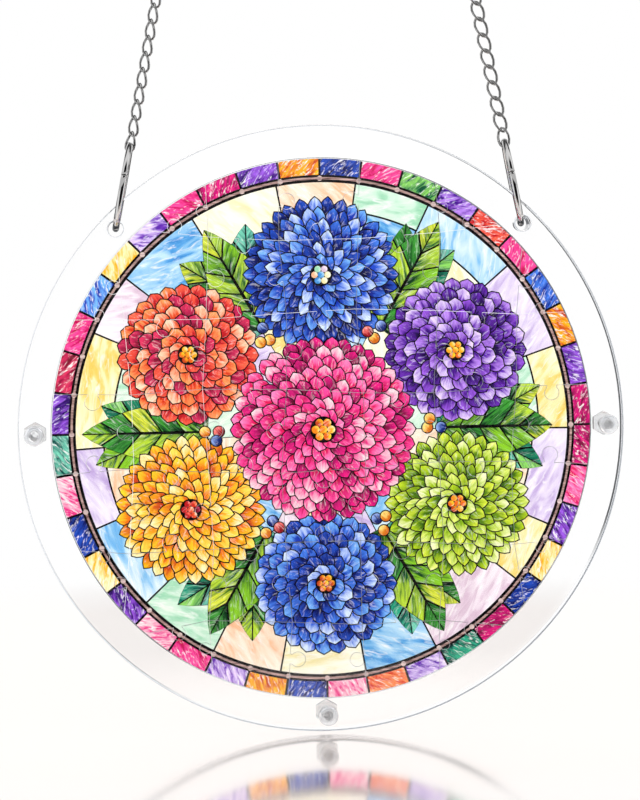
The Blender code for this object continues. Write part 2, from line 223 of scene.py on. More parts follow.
def polar(radius, angle):
    """A point from its distance and its angle in radians."""
    return Vector((radius * cos(angle), radius * sin(angle)))


def circle(radius, centre=MIDDLE, step=CIRCLE_STEP):
    """The points of a circle, a step apart."""
    count = max(10, round(TURN * radius / step))
    return [centre + polar(radius, TURN * index / count) for index in range(count)]


def sector(inner, outer, start, end, step=CIRCLE_STEP):
    """A piece of a ring between two radii and two angles."""
    count = max(2, round((end - start) * outer / step))
    turns = [start + (end - start) * index / count for index in range(count + 1)]
    return [polar(outer, turn) for turn in turns] + [polar(inner, turn) for turn in reversed(turns)]


def inset_outline(points, distance):
    """Move every side of a closed counter-clockwise outline inwards by the same distance."""
    inset = []
    for index, point in enumerate(points):
        before = (point - points[index - 1]).normalized()
        after = (points[(index + 1) % len(points)] - point).normalized()
        left_before = Vector((-before.y, before.x))
        left_after = Vector((-after.y, after.x))
        spread = max(0.35, 1 + left_before.dot(left_after))
        inset.append(point + (left_before + left_after) * (distance / spread))
    return inset


# Jigsaw cut


def regular_corner(column, row):
    """A corner of the jigsaw's regular grid."""
    return Vector((column * CELL - PUZZLE_RADIUS, row * CELL - PUZZLE_RADIUS))


def near_rim(corner):
    """Whether a regular corner is too near the circle, or too far out, to be a corner of four pieces."""
    return corner.length > PUZZLE_RADIUS - RIM_MARGIN


def grid_corner(column, row):
    """A corner of the cut: a little off its regular place, or well outside the circle."""
    corner = regular_corner(column, row)
    if near_rim(corner):
        return corner.normalized() * (PUZZLE_RADIUS + RIM_MARGIN)
    across, up = (wave[0] * column + wave[1] * row for wave in WANDER_WAVES)
    return corner + CORNER_WANDER * Vector((sin(across), cos(up)))


def rim_crossing(inner, outer):
    """Where the line from an inner corner to an outer one leaves the puzzle's circle."""
    run = outer - inner
    half = inner.dot(run)
    size = run.length_squared
    root = sqrt(half ** 2 - size * (inner.length_squared - PUZZLE_RADIUS ** 2))
    return inner + run * ((root - half) / size)


def clipped_side(start, end):
    """The part of a grid line inside the circle, or nothing where it lies outside."""
    start_in, end_in = (point.length < PUZZLE_RADIUS for point in (start, end))
    if not (start_in or end_in):
        return None
    return start if start_in else rim_crossing(end, start), end if end_in else rim_crossing(start, end)


def knobbed_line(start, end, outward):
    """A cut from start to end with one round knob, out to its left or its right."""
    along = end - start
    across = Vector((-along.y, along.x)) * outward
    middle = (start + end) / 2
    half_neck = KNOB_NECK_RATIO / 2
    opening = asin(half_neck / KNOB_ROUND_RATIO)
    points = [start, middle - along * half_neck]
    for index in range(KNOB_STEPS + 1):
        turn = opening + (TURN - 2 * opening) * index / KNOB_STEPS
        step = -KNOB_ROUND_RATIO * sin(turn)
        depth = KNOB_ROUND_RATIO * (1 - cos(turn))
        points.append(middle + along * step + across * depth)
    return points + [middle + along * half_neck, end]


def cell_side(column, row, upright):
    """One cut of the grid, always worked out in the same direction."""
    start = grid_corner(column, row)
    end = grid_corner(column, row + 1) if upright else grid_corner(column + 1, row)
    ends = clipped_side(start, end)
    if ends is None:
        return None
    outward = 1 if (column + row + upright) % 2 else -1
    return knobbed_line(*ends, outward)


def rim_arc(start, end):
    """Points between two places on the puzzle's circle, counter-clockwise."""
    first = atan2(start.y, start.x)
    sweep = (atan2(end.y, end.x) - first) % TURN
    count = max(2, round(sweep * PUZZLE_RADIUS / RIM_ARC_STEP))
    return [polar(PUZZLE_RADIUS, first + sweep * step / count) for step in range(1, count)]


def piece_outline(column, row):
    """The outline of one jigsaw piece on its cut lines, counter-clockwise."""
    sides = [cell_side(column, row, False), cell_side(column + 1, row, True),
             cell_side(column, row + 1, False), cell_side(column, row, True)]
    runs = [side[::-1] if index > 1 else side for index, side in enumerate(sides) if side]
    outline = []
    for index, run in enumerate(runs):
        following = runs[(index + 1) % len(runs)]
        outline += run
        if (run[-1] - following[0]).length > KERF:
            outline += rim_arc(run[-1], following[0])
        else:
            outline.pop()
    return outline


def jigsaw_outlines():
    """The name and outline of every piece, by row and column from the top left."""
    outlines = {}
    for row in range(PUZZLE_ROWS):
        for column in range(PUZZLE_ROWS):
            corners = [regular_corner(column + right, row + up) for right in (0, 1) for up in (0, 1)]
            if not all(near_rim(corner) for corner in corners):
                name = f"puzzle_piece_row{PUZZLE_ROWS - row}_column{column + 1}"
                outlines[name] = inset_outline(piece_outline(column, row), KERF / 2)
    return outlines


# The picture: a list of shapes, each one over those before it


class Shape:
    """A patch of one glass: its outline, its finish, two colours and its grain's origin and direction."""

    def __init__(self, outline, finish, colours=DARK_LEAD, origin=MIDDLE, turn=0.0, length=1.0):
        self.outline = outline
        self.finish = finish
        self.deep, self.pale = (linear(colour) for colour in colours)
        self.origin = origin
        self.turn = turn
        self.length = length

    def grain(self, point):
        """How far a point lies along and across the grain, in metres."""
        away = point - self.origin
        along = Vector((cos(self.turn), sin(self.turn)))
        return away.dot(along), away.dot(Vector((-along.y, along.x)))


def add_glass(picture, outline, finish, colours, origin, turn, length):
    """A patch of glass with its lead line round it."""
    picture.append(Shape(outline, "lead"))
    picture.append(Shape(inset_outline(outline, LEAD), finish, colours, origin, turn, length))


def add_border(picture, rng):
    """The tiles round the edge, each of one marbled colour, and the dark came inside them."""
    picture.append(Shape(circle(PUZZLE_RADIUS + CIRCLE_STEP), "lead"))
    step = TURN / TILES
    gap = LEAD / BORDER_OUTSIDE
    for index in range(TILES):
        start = index * step + gap
        end = (index + 1) * step - gap
        middle = (start + end) / 2
        colours = rng.choice(PALETTES[TILE_GLASSES[index % len(TILE_GLASSES)]])
        slant = rng.uniform(*TILE_SLANTS) * rng.choice((-1, 1))
        picture.append(Shape(sector(BORDER_INSIDE, BORDER_OUTSIDE, start, end), "tile", colours,
                             polar(BORDER_INSIDE, middle), middle + slant, TILE_FADE))
    picture.append(Shape(circle(CAME_OUTSIDE + 2 * LEAD), "lead"))
    picture.append(Shape(circle(CAME_OUTSIDE), "came", CAME))
    picture.append(Shape(circle(CAME_INSIDE), "lead"))
    for index in range(TILES):
        spot = polar((CAME_OUTSIDE + CAME_INSIDE) / 2, index * step)
        picture.append(Shape(circle(SOLDER, spot, SOLDER / 2), "came", SOLDER_DOT))


def add_panes(picture, rng):
    """Pale wedges of opalescent glass behind the flowers."""
    starts = [TURN * (index + rng.uniform(-PANE_WANDER, PANE_WANDER)) / PANES
              for index in range(PANES)]
    for index, start in enumerate(starts):
        end = starts[(index + 1) % PANES] + (TURN if index == PANES - 1 else 0.0)
        split = WINDOW - rng.uniform(*PANE_SPLITS) * MM
        for inner, outer, shift in ((split, WINDOW, 0), (PANE_INSIDE, split, 3)):
            colours = PALETTES["pane"][(index + shift) % len(PALETTES["pane"])]
            gap = LEAD * 0.8
            outline = sector(inner + gap, outer - gap, start + gap / outer, end - gap / outer)
            picture.append(Shape(outline, "pane", colours, polar(inner, (start + end) / 2),
                                 start + rng.uniform(*PANE_SLANTS), outer - inner))


def shrunk(points, distance):
    """Draw a closed outline in towards its middle, by about a distance all round."""
    middle = sum(points, MIDDLE) / len(points)
    mean = sum((point - middle).length for point in points) / len(points)
    return [middle + (point - middle) * (1 - distance / mean) for point in points]


def leaf_profile(share):
    """A leaf's half width along it, round near its stalk and drawn out to a tip."""
    return sin(pi * share ** 0.72) ** 0.8 if 0 < share < 1 else 0.0


def leaf_glass(length, width, side, first, last):
    """The glass of a leaf between two side veins that slant to its tip, on one side of its midrib."""
    start = min(first + LEAF_SLANT, 1.0) if first else 0.0
    end = min(last + LEAF_SLANT, 1.0)
    steps = 5
    shares = [start + (end - start) * index / steps for index in range(steps + 1)]
    margin = [Vector((length * share, side * width / 2 * leaf_profile(share))) for share in shares]
    rib = [Vector((length * share, 0.0)) for share in (last, first) if 0 < share < 1]
    points = margin + rib
    return points if side < 0 else points[::-1]


def placed(points, origin, turn):
    """Points of a shape's own plane, turned and moved to their place in the picture."""
    spin = rotated(turn, 2)
    return [spin @ point + origin for point in points]


def add_leaf(picture, rng, origin, turn, length, width, palette):
    """A leaf of streaky glass: a midrib, and side veins that part each half into panes."""
    steps = 14
    upper = [Vector((length * i / steps, width / 2 * leaf_profile(i / steps))) for i in range(1, steps)]
    lower = [Vector((point.x, -point.y)) for point in upper]
    outline = [MIDDLE] + lower + [Vector((length, 0.0))] + upper[::-1]
    picture.append(Shape(placed(outline, origin, turn), "lead"))
    for side in (-1, 1):
        for first, last in zip(LEAF_CUTS, LEAF_CUTS[1:]):
            patch = shrunk(leaf_glass(length, width, side, first, last), LEAD)
            colours = rng.choice(PALETTES[palette])
            picture.append(Shape(placed(patch, origin, turn), "leaf", colours,
                                 placed([Vector((length * first, 0.0))], origin, turn)[0],
                                 turn + side * rng.uniform(*LEAF_GRAINS), width / 2))


def petal_outline(length, width, pointed):
    """A petal from its base: widest past its middle, its end round or pointed."""
    steps = 6
    upper = []
    for index in range(1, steps):
        share = index / steps
        swell = sin(pi * share ** (1.25 - 0.35 * pointed)) ** (0.62 + 0.4 * pointed)
        upper.append(Vector((length * share, width / 2 * (0.18 + 0.82 * swell))))
    lower = [Vector((point.x, -point.y)) for point in upper]
    base = [Vector((0.0, -0.1 * width))]
    tip = [Vector((length, 0.0))]
    return base + lower + tip + upper[::-1] + [Vector((0.0, 0.1 * width))]


def add_petal(picture, rng, centre, turn, start, length, width, pointed, colours):
    """One petal that starts at a distance from the flower's centre."""
    origin = centre + polar(start, turn)
    outline = placed(petal_outline(length, width, pointed), origin, turn + rng.uniform(-0.07, 0.07))
    add_glass(picture, outline, "petal", colours, origin, turn, length)


def add_bloom(picture, rng, centre, radius, rings, pointed, palette, heart):
    """A full flower: rings of petals from the outside in, and a heart of small round glasses."""
    core = BLOOM_CORE * radius
    for ring in range(rings):
        reach = radius - (radius - core) * (ring / rings) ** BLOOM_CROWDING
        inner = radius - (radius - core) * ((ring + PETAL_REACH) / rings) ** BLOOM_CROWDING
        length = reach - max(inner, core * 0.4) + PETAL_TUCK
        count = max(6, round(TURN * reach * (0.78 + 0.2 * pointed) / PETAL_STEP))
        width = TURN * reach / count * PETAL_OVERLAP
        for index in range(count):
            turn = TURN * (index + 0.5 * (ring % 2)) / count + rng.uniform(-0.03, 0.03)
            colours = rng.choice(PALETTES[palette])
            stretch = length * rng.uniform(0.94, 1.06)
            add_petal(picture, rng, centre, turn, reach - stretch, stretch, width, pointed, colours)
    add_heart(picture, rng, centre, core, heart)


def add_heart(picture, rng, centre, core, palette):
    """The small glasses in the middle of a flower."""
    picture.append(Shape(circle(core + LEAD, centre, 1 * MM), "lead"))
    beads = 6
    bead = core * 0.36
    for index in range(beads + 1):
        spot = centre + (polar(core * 0.64, TURN * index / beads) if index < beads else MIDDLE)
        colours = rng.choice(PALETTES[palette])
        picture.append(Shape(circle(bead - LEAD / 3, spot, bead / 2), "petal", colours,
                             spot - Vector((bead, 0.0)), 0.6, 2 * bead))


def add_berries(picture, rng, centre, turn):
    """A short spray of three round berries."""
    for index in range(3):
        spot = centre + polar((1.5 + BERRY_STEP * index) * MM, turn + 0.9 * (index % 2))
        add_glass(picture, circle(BERRY, spot, 0.9 * MM), "petal", rng.choice(PALETTES["berry"]),
                  spot + Vector((1.6 * MM, -1.6 * MM)), 2.3, 4 * MM)


# Each flower's angle, radius in millimetres, rings of petals, pointedness, petals' glass and heart's glass
BLOOMS = [
    (30.0, 24.0, 6, 0.25, "violet", "gold"),
    (90.0, 26.0, 6, 0.95, "blue", "pane"),
    (150.0, 23.5, 6, 0.25, "coral", "gold"),
    (210.0, 25.0, 6, 0.9, "gold", "coral"),
    (270.0, 24.0, 6, 0.25, "blue", "gold"),
    (330.0, 24.5, 6, 0.9, "lime", "gold"),
]
# The leaves between two flowers: each one's offset and turn against their middle line, and its glass
SPRAY = ((-0.15, 0.5, "leaf"), (0.15, -0.5, "teal"), (0.0, 0.0, "leaf"))


def add_flowers(picture, rng):
    """Leaves first, then six flowers in a ring, and the largest in the middle over them."""
    for index, (angle, *_) in enumerate(BLOOMS):
        between = radians(angle + 30.0)
        for offset, turn, palette in SPRAY:
            root = polar(LEAF_ROOT, between + offset)
            add_leaf(picture, rng, root, between + turn * (1 if index % 2 else 0.8),
                     rng.uniform(*LEAF_LENGTHS) * MM, rng.uniform(*LEAF_WIDTHS) * MM, palette)
    for angle, radius, rings, pointed, palette, heart in BLOOMS:
        centre = polar(BLOOM_RING, radians(angle))
        add_bloom(picture, rng, centre, radius * MM, rings, pointed, palette, heart)
    for index in range(6):
        between = radians(index * 60.0)
        add_berries(picture, rng, polar(BERRY_RING, between), between)
    add_bloom(picture, rng, MIDDLE, 31.0 * MM, 8, 0.55, "magenta", "gold")


def design_picture():
    """Every shape of the picture, from the back of the design to its front."""
    rng = random.Random(SEED)
    picture = []
    for add_part in (add_border, add_panes, add_flowers):
        add_part(picture, rng)
    return picture


def triangulate(outlines, picture):
    """Cut the picture along the jigsaw's lines: each piece's triangles with the shape that shows there."""
    points = []
    faces = []
    for outline in [*outlines.values(), *(shape.outline for shape in picture)]:
        faces.append(list(range(len(points), len(points) + len(outline))))
        points += [point / MM for point in outline]
    places, _, triangles, _, _, sources = delaunay_2d_cdt(points, [], faces, 1, 1e-4)
    pieces = {name: [] for name in outlines}
    names = list(outlines)
    for triangle, covering in zip(triangles, sources):
        owners = [source for source in covering if source < len(names)]
        shapes = [source for source in covering if source >= len(names)]
        if owners and shapes:
            pieces[names[owners[0]]].append((triangle, max(shapes) - len(names)))
    return [Vector(place) * MM for place in places], pieces


# Meshes


DISC = moved((0.0, 0.0, DISC_CENTRE)) @ rotated(pi / 2, 4, "X")


def hanger(side):
    """The frame of one chain's line: it starts at the hanging ring's centre and runs down local -Z."""
    lean = LEAN if side == "left" else -LEAN
    return moved((0.0, 0.0, HANGING_RING_CENTRE)) @ rotated(lean, 4, "Y")


def on_fixing_circle(angle):
    """A point of the rim's middle line, at an angle in degrees."""
    return polar(FIXING_RADIUS, radians(angle))


def cylinder(radius, low, high, steps, centre=MIDDLE):
    """A closed cylinder along Z, between two heights."""
    shape = bmesh.new()
    bmesh.ops.create_cone(shape, cap_ends=True, segments=steps, radius1=radius, radius2=radius,
                          depth=high - low, matrix=moved((*centre, (low + high) / 2)))
    return shape


def turned(profile, steps):
    """A closed body turned round Z from (radius, height) points that start and end on the axis."""
    shape = bmesh.new()
    verts = [shape.verts.new((radius, 0.0, height)) for radius, height in profile]
    edges = [shape.edges.new(pair) for pair in zip(verts, verts[1:])]
    bmesh.ops.spin(shape, geom=verts + edges, cent=(0, 0, 0), axis=(0, 0, 1), angle=TURN,
                   steps=steps, use_merge=True)
    bmesh.ops.remove_doubles(shape, verts=shape.verts, dist=MM / 1000)
    bmesh.ops.recalc_face_normals(shape, faces=shape.faces)
    return shape


def put_in_scene(name, data):
    """A new object in the scene."""
    item = bpy.data.objects.new(name, data)
    bpy.context.scene.collection.objects.link(item)
    return item


def mesh_object(name, shape):
    """A new object made of a shape, which is used up."""
    mesh = bpy.data.meshes.new(name)
    shape.to_mesh(mesh)
    shape.free()
    return put_in_scene(name, mesh)


def carved(shape, cutters, operation="DIFFERENCE"):
    """A shape with others cut out of it, or its overlap with them."""
    body = mesh_object("body", shape)
    others = [mesh_object("cutter", cutter) for cutter in cutters]
    for other in others:
        modifier = body.modifiers.new("cut", "BOOLEAN")
        modifier.operation = operation
        modifier.object = other
    bpy.context.view_layer.update()
    result = bmesh.new()
    result.from_mesh(body.evaluated_get(bpy.context.evaluated_depsgraph_get()).to_mesh())
    for item in [body, *others]:
        bpy.data.objects.remove(item)
    bmesh.ops.remove_doubles(result, verts=result.verts, dist=MM / 1000)
    return result


def round_edges(shape, offset, segments=2, least=radians(40)):
    """Round every edge that is sharper than an angle."""
    edges = [edge for edge in shape.edges if len(edge.link_faces) == 2 and edge.calc_face_angle() > least]
    bmesh.ops.bevel(shape, geom=edges, offset=offset, offset_type="OFFSET", segments=segments, profile=0.5,
                    affect="EDGES", clamp_overlap=True, material=-1)


def finish_piece(name, shape, place, materials, smooth=35.0):
    """Make a shape the piece that stands for the CAD node of its name."""
    shape.transform(place)
    bmesh.ops.recalc_face_normals(shape, faces=shape.faces)
    piece = mesh_object(f"{name}_finished", shape)
    for material in materials:
        piece.data.materials.append(material)
    piece.data.shade_smooth()
    piece.data.set_sharp_from_angle(angle=radians(smooth))
    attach(piece, "root")
    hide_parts(name)


# Heights in the stack, from its middle towards the viewer
STACK_FRONT = -COVER_LOW.y
COVER_BACK = -COVER_HIGH.y
TRAY_FRONT = -TRAY_LOW.y
STACK_BACK = -TRAY_HIGH.y
PUZZLE_FRONT = -PUZZLE_LOW.y
PUZZLE_BACK = -PUZZLE_HIGH.y
POCKET_BOTTOM = PUZZLE_BACK - POCKET_GAP
HEAD_SEAT = STACK_FRONT + POCKET_GAP


def hole_cutters():
    """Cutters for the screw holes and the ring holes."""
    sizes = [(SCREW_HOLE, angle) for angle in SCREW_ANGLES.values()]
    sizes += [(RING_HOLE, angle) for angle in RING_HOLE_ANGLES]
    return [cylinder(size / 2, 2 * STACK_BACK, 2 * STACK_FRONT, HOLE_STEPS, on_fixing_circle(angle))
            for size, angle in sizes]


def mark_edges(shape):
    """Give a plate's walls their second material, pale painted shade, and the rounds beside them their
    third, dark painted shade.
    """
    for face in shape.faces:
        if abs(face.normal.z) < FACE_SLOPE:
            face.material_index = 1 if abs(face.normal.z) < WALL_SLOPE else 2


def add_plates(materials):
    """The flat cover and the tray with its pocket, their edges polished round."""
    pocket = cylinder(PUZZLE_RADIUS + POCKET_GAP, POCKET_BOTTOM, STACK, PLATE_STEPS)
    for name, back, front, pockets in (("cover_plate", COVER_BACK, STACK_FRONT, []),
                                       ("backing_tray", STACK_BACK, TRAY_FRONT, [pocket])):
        plate = carved(cylinder(PLATE_RADIUS, back, front, PLATE_STEPS), [*pockets, *hole_cutters()])
        round_edges(plate, RIM_ROUND)
        plate.normal_update()
        mark_edges(plate)
        finish_piece(name, plate, DISC, materials, smooth=20.0)


def finish_fastener(kind, side, shape, shaded_slope, materials):
    """Give a fastener's steeper faces its second material, the darker copy that paints shade on them, and
    set it in its hole.
    """
    shape.normal_update()
    for face in shape.faces:
        face.material_index = int(abs(face.normal.z) < shaded_slope)
    place = DISC @ moved((*on_fixing_circle(SCREW_ANGLES[side]), 0.0))
    finish_piece(f"{kind}_{side}", shape, place, materials)


def head_profile(seat, top):
    """The pan head's curve, from its middle down to its underside."""
    across, up = CROWN_POWERS
    crown = []
    for turn in map(radians, CROWN_DEGREES):
        rise = CROWN_FOOT + (1 - CROWN_FOOT) * cos(turn) ** up
        crown.append((HEAD / 2 * sin(turn) ** across, seat + (top - seat) * rise))
    return [(0.0, top), *crown, (HEAD / 2, seat + HEAD_EDGE), (HEAD / 2 - HEAD_EDGE, seat)]


def thread_profile(start, end):
    """Ridges along the shank, a pitch apart, down to its chamfered tip."""
    count = int((start - end - THREAD_PITCH) / THREAD_PITCH)
    points = []
    for index in range(count):
        height = start - index * THREAD_PITCH
        points.append((SHANK / 2 - THREAD_DEPTH, height))
        points.append((SHANK / 2, height - THREAD_PITCH / 2))
    return [*points, (SHANK / 2 - THREAD_DEPTH, start - count * THREAD_PITCH), (SHANK / 3, end), (0.0, end)]


def cross_cutter(length, width, top):
    """One arm of the cross recess, narrower at its bottom."""
    shape = bmesh.new()
    bmesh.ops.create_cube(shape, size=1.0)
    for vert in shape.verts:
        if vert.co.z < 0:
            vert.co.xy *= CROSS_TAPER
    bmesh.ops.scale(shape, verts=shape.verts, vec=(length, width, 2 * CROSS_DEPTH))
    bmesh.ops.translate(shape, verts=shape.verts, vec=(0.0, 0.0, top))
    return shape


def add_screw(side, materials):
    """A pan-head screw with a cross recess and a threaded shank."""
    top, tip = -SCREW_LOW.y, -SCREW_HIGH.y
    profile = head_profile(HEAD_SEAT, top) + [(SHANK / 2, HEAD_SEAT)] + thread_profile(STACK_FRONT, tip)
    arms = [cross_cutter(CROSS_LENGTH, CROSS_WIDTH, top), cross_cutter(CROSS_WIDTH, CROSS_LENGTH, top)]
    finish_fastener("screw", side, carved(turned(profile, SCREW_STEPS), arms), HEAD_SHADED_SIDE_SLOPE, materials)


def add_nut(side, materials):
    """A hex nut with chamfered corners."""
    back, front = -NUT_HIGH.y, -NUT_LOW.y
    corner = (NUT_HIGH.z - NUT_LOW.z) / 2
    face = NUT_FACE_RATIO * corner * cos(radians(30))
    reach = NUT_CORNER_RATIO * corner
    envelope = turned([(0.0, back), (face, back), (reach, back + NUT_CHAMFER),
                       (reach, front - NUT_CHAMFER), (face, front), (0.0, front)], NUT_STEPS)
    hexagon = carved(cylinder(corner, back, front, 6), [envelope], "INTERSECT")
    bore = cylinder(SCREW_HOLE / 2, 2 * back, STACK_FRONT, HOLE_STEPS)
    finish_fastener("nut", side, carved(hexagon, [bore]), NUT_SHADED_SIDE_SLOPE, materials)


def bent_wire(wire, radius, axis, start, sweep):
    """Wire bent round an axis, X or Y, through part of a circle or all of it."""
    closed = sweep > TURN - 1e-6
    shape = bmesh.new()
    if axis == "X":
        place = rotated(start, 4, "X") @ moved((0.0, radius, 0.0))
    else:
        place = moved((radius, 0.0, 0.0))
    bmesh.ops.create_circle(shape, segments=WIRE_STEPS, radius=wire / 2, matrix=place)
    bmesh.ops.spin(shape, geom=shape.verts[:] + shape.edges[:], cent=(0, 0, 0),
                   axis=(1, 0, 0) if axis == "X" else (0, 1, 0), angle=sweep, steps=RING_STEPS,
                   use_merge=closed)
    if not closed:
        ends = [edge for edge in shape.edges if edge.is_boundary]
        bmesh.ops.holes_fill(shape, edges=ends, sides=0)
        bmesh.ops.recalc_face_normals(shape, faces=shape.faces)
        round_edges(shape, wire / RING_WIRE_IN_ROUNDS, least=radians(60))
    return shape


def add_rings(steel):
    """The jump rings through the plates, each with its butt seam, and the ring that hangs on the hook."""
    half_gap = JUMP_RING_SEAM / 2 / JUMP_RING_RADIUS
    seam = radians(180.0 - JUMP_RING_SEAM_ANGLE)
    for side, turn in JUMP_RING_TURNS.items():
        ring = bent_wire(JUMP_RING_WIRE, JUMP_RING_RADIUS, "X", seam + half_gap, TURN - 2 * half_gap)
        place = hanger(side) @ moved((0.0, 0.0, -JUMP_RING_CENTRE))
        place = place @ rotated(radians(turn), 4, "Z")
        finish_piece(f"jump_ring_{side}", ring, place, [steel])
    ring = bent_wire(HANGING_RING_WIRE, HANGING_RING_RADIUS, "Y", 0.0, TURN)
    finish_piece("hanging_ring", ring, moved((0.0, 0.0, HANGING_RING_CENTRE)), [steel])


def link_line(middle, top_turn, bottom_turn, tilt):
    """The centre line of one curb link: an oval that leans in its own plane, twisted between its ends."""
    line = []
    for index in range(LINK_POINTS):
        turn = TURN * (index + 0.5) / LINK_POINTS
        height = (LINK_REACH + LINK_SLACK) / 2 * sin(turn) / cos(pi / LINK_POINTS)
        across = (LINK_WIDTH - LINK_WIRE) / 2 * cos(turn) - tilt * height
        share = max(0.0, min(1.0, 0.5 + LINK_TWIST_RATE * height / LINK_REACH))
        spin = radians(bottom_turn + (top_turn - bottom_turn) * share)
        line.append(Vector((across * cos(spin), across * sin(spin), height - middle)))
    return line


def add_chain(side, steel):
    """A curb chain: each link's end is square to the next one's, and the first and last suit the rings."""
    top_turn = LINK_TOP_TURNS[side]
    bottom_turn = top_turn + 90.0
    curve = bpy.data.curves.new("links", "CURVE")
    curve.dimensions = "3D"
    curve.bevel_depth = LINK_WIRE / 2
    curve.bevel_resolution = LINK_BEVEL
    for index in range(LINKS):
        top = -90.0 if index == 0 else top_turn
        bottom = {0: bottom_turn - 180.0, LINKS - 1: 0.0}.get(index, bottom_turn)
        tilt = 0.0 if index in (0, LINKS - 1) else LINK_TILT
        line = link_line(CHAIN_TOP + LINK_REACH / 2 + index * LINK_PITCH, top, bottom, tilt)
        spline = curve.splines.new("POLY")
        spline.points.add(len(line) - 1)
        for spot, point in zip(spline.points, line):
            spot.co = (*point, 1.0)
        spline.use_cyclic_u = True
    bent = put_in_scene("links", curve)
    shape = bmesh.new()
    shape.from_mesh(bent.to_mesh())
    bpy.data.objects.remove(bent)
    finish_piece(f"chain_{side}", shape, hanger(side), [steel], smooth=80.0)


# The finishes of the print: lengths in millimetres and shares of its streaks, paling, wisps and veins
STREAK_LABELS = ("Streak Length", "Streak Width", "Pale From", "Paling", "Streaks", "Wisps", "Wisp Length",
                 "Wisp Width", "Veins")
PRINTS = {
    "petal": (5.0, 1.6, 0.7, 1.5, 2.2, 0.4, 4.0, 1.3, 0.35),
    "leaf": (8.0, 1.3, 0.5, 0.6, 3.0, 0.4, 6.0, 1.0, 0.7),
    "pane": (12.0, 3.4, 0.5, 0.2, 2.8, 0.7, 9.0, 2.2, 0.15),
    "tile": (5.0, 1.4, 0.5, 0.15, 3.2, 0.95, 3.6, 1.1, 0.5),
    "lead": (4.0, 1.0, 0.5, 0.8, 1.2, 0.0, 3.0, 1.0, 0.0),
    "came": (6.0, 0.5, 0.5, 0.0, 2.0, 0.0, 3.0, 1.0, 0.3),
}
FINISHES = [*PRINTS, "cut edge with painted glow"]
SEED_STEP = 0.618


def paint_face(face, patch, seed, layers):
    """Note a triangle's glass on its corners: its grain, its two colours, and a number of its own."""
    grain, deep, pale = layers
    face.material_index = FINISHES.index(patch.finish)
    for loop in face.loops:
        along, across = patch.grain(loop.vert.co.xy)
        loop[grain].uv = (along / MM, across / MM)
        loop[deep] = (*patch.deep, seed)
        loop[pale] = (*patch.pale, along / patch.length)


def add_puzzle_piece(name, triangles, places, picture, materials):
    """One jigsaw piece: its part of the picture on both faces, and its cut edges of clear acrylic, drawn
    pale grey with a faint painted glow.
    """
    shape = bmesh.new()
    layers = (shape.loops.layers.uv.new("grain"), shape.loops.layers.float_color.new("deep"),
              shape.loops.layers.float_color.new("pale"))
    corners = {index: shape.verts.new((*places[index], PUZZLE_BACK))
               for index in sorted({index for triangle, _ in triangles for index in triangle})}
    for triangle, source in triangles:
        face = shape.faces.new([corners[index] for index in triangle])
        paint_face(face, picture[source], (source * SEED_STEP) % 1.0, layers)
    front = bmesh.ops.extrude_face_region(shape, geom=shape.faces[:], use_keep_orig=True)["geom"]
    bmesh.ops.translate(shape, verts=[item for item in front if isinstance(item, bmesh.types.BMVert)],
                        vec=(0.0, 0.0, PUZZLE_FRONT - PUZZLE_BACK))
    shape.normal_update()
    for face in shape.faces:
        if abs(face.normal.z) < 0.5:
            face.material_index = FINISHES.index("cut edge with painted glow")
    finish_piece(name, shape, DISC, materials, smooth=20.0)


def add_puzzle(materials):
    """The whole jigsaw with its picture."""
    picture = design_picture()
    places, pieces = triangulate(jigsaw_outlines(), picture)
    for name, triangles in pieces.items():
        add_puzzle_piece(name, triangles, places, picture, materials)


# Materials


ACRYLIC_IOR = 1.49
NYLON_IOR = 1.53
# Strength of the faint bluish painted glow on the plates' walls and rounds
EDGE_GLOW = 0.1
GRAIN_HEIGHT = 0.02 * MM
SEED_REACH = 37.0
PALING_HALF = 0.42
HANDLED = {"Least Roughness": 0.03, "Most Roughness": 0.12}


def grey(level):
    """A colour without a hue."""
    return level, level, level, 1.0


def fill(made, inputs):
    """Set a node's inputs, or link them."""
    for key, value in inputs.items():
        if isinstance(value, bpy.types.NodeSocket):
            made.id_data.links.new(value, made.inputs[key])
        else:
            made.inputs[key].default_value = value


def node(tree, kind, inputs=None, **settings):
    """A shader node with its settings, each input set or linked."""
    made = tree.nodes.new("ShaderNode" + kind)
    for key, value in settings.items():
        setattr(made, key, value)
    fill(made, inputs or {})
    return made


def new_group(name, inputs, outputs):
    """A node group with float inputs and the named outputs, its group nodes made."""
    tree = bpy.data.node_groups.new(name, "ShaderNodeTree")
    for label, value in inputs.items():
        socket = tree.interface.new_socket(label, in_out="INPUT", socket_type="NodeSocketFloat")
        socket.default_value = value
    for label, kind in outputs.items():
        tree.interface.new_socket(label, in_out="OUTPUT", socket_type="NodeSocket" + kind)
    return tree, tree.nodes.new("NodeGroupInput").outputs, tree.nodes.new("NodeGroupOutput")


def noise(tree, vector, scale, detail=3.0, roughness=0.6, distortion=0.0):
    """The value of a noise texture."""
    return node(tree, "TexNoise", {"Vector": vector, "Scale": scale, "Detail": detail,
                                   "Roughness": roughness, "Distortion": distortion}).outputs[0]


def remap(tree, value, low, high, to_low=0.0, to_high=1.0):
    """A value stretched from one range to another, and held inside it."""
    return node(tree, "MapRange", {"Value": value, "From Min": low, "From Max": high,
                                   "To Min": to_low, "To Max": to_high}).outputs[0]


def maths(tree, operation, first, second):
    """One step of reckoning with two values."""
    return node(tree, "Math", {0: first, 1: second}, operation=operation).outputs[0]


def blend(tree, share, first, second, mode="MIX"):
    """Two colours mixed by a share."""
    made = node(tree, "Mix", data_type="RGBA", blend_type=mode)
    fill(made, {0: share, 6: first, 7: second})
    return made.outputs[2]


def stretched(tree, grain, seed, length, width):
    """Coordinates in which streaks of a length and a width, in millimetres, are one unit across."""
    parts = node(tree, "SeparateXYZ", {0: grain}).outputs
    along = maths(tree, "DIVIDE", parts[0], length)
    across = maths(tree, "DIVIDE", parts[1], width)
    return node(tree, "CombineXYZ", {0: along, 1: across,
                                     2: maths(tree, "MULTIPLY", seed, SEED_REACH)}).outputs[0]


